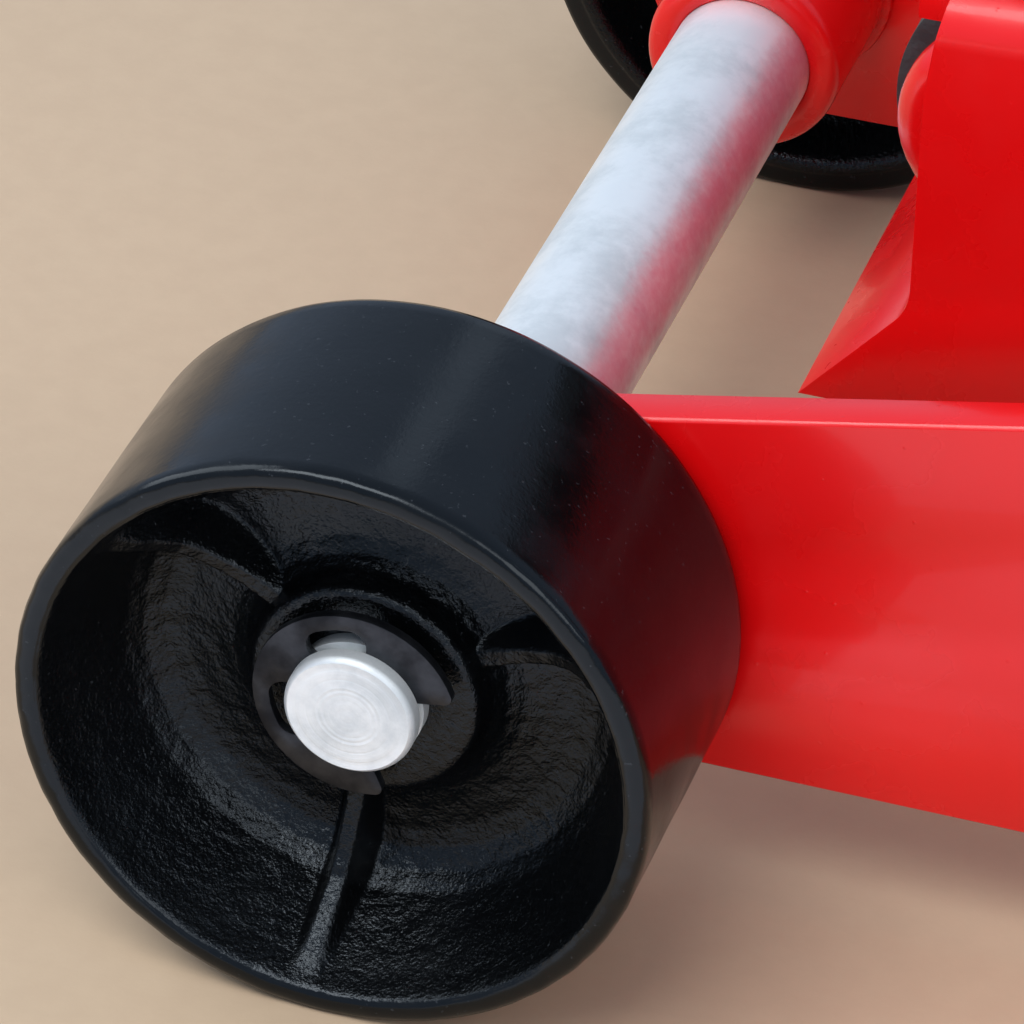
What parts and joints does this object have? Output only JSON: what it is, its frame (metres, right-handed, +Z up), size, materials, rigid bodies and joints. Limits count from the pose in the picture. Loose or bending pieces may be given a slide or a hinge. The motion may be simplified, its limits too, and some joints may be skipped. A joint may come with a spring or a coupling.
{
  "type": "hydraulic trolley jack",
  "caption": "Low-profile garage floor jack: a lever arm with a self-levelling swivel saddle, raised by a hydraulic ram that a tilting handle pumps.",
  "frame": {"origin": "on the floor at the middle of the jack's length and width", "axes": "front wheels at -X, handle at +X, +Z up, Y across"},
  "size_m": [0.628, 0.2666, 0.7414],
  "materials": {
    "red_paint": "thick gloss enamel",
    "black_enamel": "thick gloss enamel over rough casting",
    "zinc_steel": "bright zinc plate",
    "black_oxide": "black phosphate",
    "bright_steel": "ground and oiled",
    "grey_casting": "sand cast, dark paint",
    "caster_tread": "hard moulded nylon",
    "rubber": "matt moulded"
  },
  "bodies": {
    "frame": {"side_plate_left": "red_paint", "side_plate_right": "red_paint", "front_axle": "zinc_steel", "axle_collars": "red_paint", "axle_washers": "zinc_steel", "axle_clips": "black_oxide", "lift_shaft": "zinc_steel", "shaft_spacers": "red_paint", "shaft_caps": "zinc_steel", "shaft_bolts": "zinc_steel", "frame_crossbars": "red_paint", "link_anchor": "black_oxide", "cylinder_tube": "bright_steel", "ram_gland": "black_oxide", "reservoir_tank": "black_enamel", "pump_block": "black_enamel", "filler_plug": "zinc_steel", "spring_posts": "zinc_steel", "return_springs": "black_oxide", "unit_spacers": "red_paint", "yoke_brackets": "red_paint", "yoke_pins": "zinc_steel", "frame_bolts": "zinc_steel", "caster_brackets": "red_paint", "caster_swivels": "zinc_steel", "plunger_spring": "black_oxide"},
    "lift_arm": {"arm_channel": "red_paint", "arm_nose_plate": "red_paint", "arm_bushes": "red_paint", "lift_roller": "bright_steel", "roller_pin": "zinc_steel", "carrier_pin": "zinc_steel"},
    "saddle_carrier": {"saddle_carrier": "grey_casting"},
    "saddle": {"saddle": "grey_casting"},
    "levelling_link": {"link_bars": "black_oxide", "link_pins": "zinc_steel"},
    "ram": {"ram_pad": "bright_steel", "ram_crossbar": "black_oxide", "ram_rod": "bright_steel", "ram_piston": "bright_steel", "piston_seal": "rubber"},
    "handle_yoke": {"handle_yoke": "red_paint", "cam_pin": "zinc_steel", "cam_roller": "bright_steel", "lock_screw": "black_oxide"},
    "handle": {"handle_lower_tube": "red_paint", "handle_upper_tube": "zinc_steel", "handle_button": "zinc_steel", "handle_bumper": "rubber", "handle_grip": "rubber"},
    "release_valve": {"valve_stem": "zinc_steel"},
    "pump_plunger": {"pump_plunger": "bright_steel"},
    "front_wheel_left": {"front_wheel_left": "black_enamel"},
    "front_wheel_right": {"front_wheel_right": "black_enamel"},
    "caster_left": {"caster_fork_left": "zinc_steel", "caster_axle_left": "zinc_steel"},
    "caster_right": {"caster_fork_right": "zinc_steel", "caster_axle_right": "zinc_steel"},
    "caster_wheel_left": {"caster_wheel_left": "caster_tread"},
    "caster_wheel_right": {"caster_wheel_right": "caster_tread"}
  },
  "joints": [
    {"name": "lift_arm_pivot", "type": "hinge", "parent": "frame", "child": "lift_arm", "pos_m": [0.125, 0, 0.118], "axis": [0, 1, 0], "range_deg": [0, 52]},
    {"name": "carrier_pivot", "type": "hinge", "parent": "lift_arm", "child": "saddle_carrier", "pos_m": [-0.209, 0, 0.09], "axis": [0, 1, 0], "range_deg": [-52, 0]},
    {"name": "link_pivot", "type": "hinge", "parent": "frame", "child": "levelling_link", "pos_m": [0.125, 0, 0.089], "axis": [0, 1, 0], "range_deg": [0, 52]},
    {"name": "saddle_swivel", "type": "hinge", "parent": "saddle_carrier", "child": "saddle", "pos_m": [-0.186, 0, 0.124], "axis": [0, 0, 1], "continuous": true},
    {"name": "ram_slide", "type": "slide", "parent": "frame", "child": "ram", "axis": [-1, 0, 0], "range_m": [0, 0.057], "deforming": ["return_springs"]},
    {"name": "yoke_hinge", "type": "hinge", "parent": "frame", "child": "handle_yoke", "pos_m": [0.292, 0, 0.118], "axis": [0, 1, 0], "range_deg": [0, 70]},
    {"name": "plunger_slide", "type": "slide", "parent": "frame", "child": "pump_plunger", "axis": [-1, 0, 0], "range_m": [0, 0.02295], "deforming": ["plunger_spring"]},
    {"name": "handle_twist", "type": "hinge", "parent": "handle_yoke", "child": "handle", "pos_m": [0.292, 0, 0.118], "axis": [-0.0698, 0, 0.9976], "range_deg": [0, 90]},
    {"name": "valve_turn", "type": "hinge", "parent": "frame", "child": "release_valve", "pos_m": [0.292, 0, 0.118], "axis": [0.515, 0, 0.8572], "range_deg": [0, 90]},
    {"name": "front_wheel_left_spin", "type": "hinge", "parent": "frame", "child": "front_wheel_left", "pos_m": [-0.27, -0.112, 0.044], "axis": [0, 1, 0], "continuous": true},
    {"name": "front_wheel_right_spin", "type": "hinge", "parent": "frame", "child": "front_wheel_right", "pos_m": [-0.27, 0.112, 0.044], "axis": [0, 1, 0], "continuous": true},
    {"name": "caster_left_swivel", "type": "hinge", "parent": "frame", "child": "caster_left", "pos_m": [0.266, -0.111, 0.062], "axis": [0, 0, 1], "continuous": true},
    {"name": "caster_left_spin", "type": "hinge", "parent": "caster_left", "child": "caster_wheel_left", "pos_m": [0.286, -0.111, 0.028], "axis": [0, 1, 0], "continuous": true},
    {"name": "caster_right_swivel", "type": "hinge", "parent": "frame", "child": "caster_right", "pos_m": [0.266, 0.111, 0.062], "axis": [0, 0, 1], "continuous": true},
    {"name": "caster_right_spin", "type": "hinge", "parent": "caster_right", "child": "caster_wheel_right", "pos_m": [0.286, 0.111, 0.028], "axis": [0, 1, 0], "continuous": true}
  ],
  "couplings": [
    {"joint": "carrier_pivot", "follows": "lift_arm_pivot", "ratio": -1},
    {"joint": "link_pivot", "follows": "lift_arm_pivot", "ratio": 1},
    {"joint": "ram_slide", "follows": "lift_arm_pivot", "m_per_rad": 0.062792},
    {"joint": "plunger_slide", "follows": "yoke_hinge", "m_per_rad": 0.018779},
    {"joint": "valve_turn", "follows": "handle_twist", "ratio": 1}
  ]
}
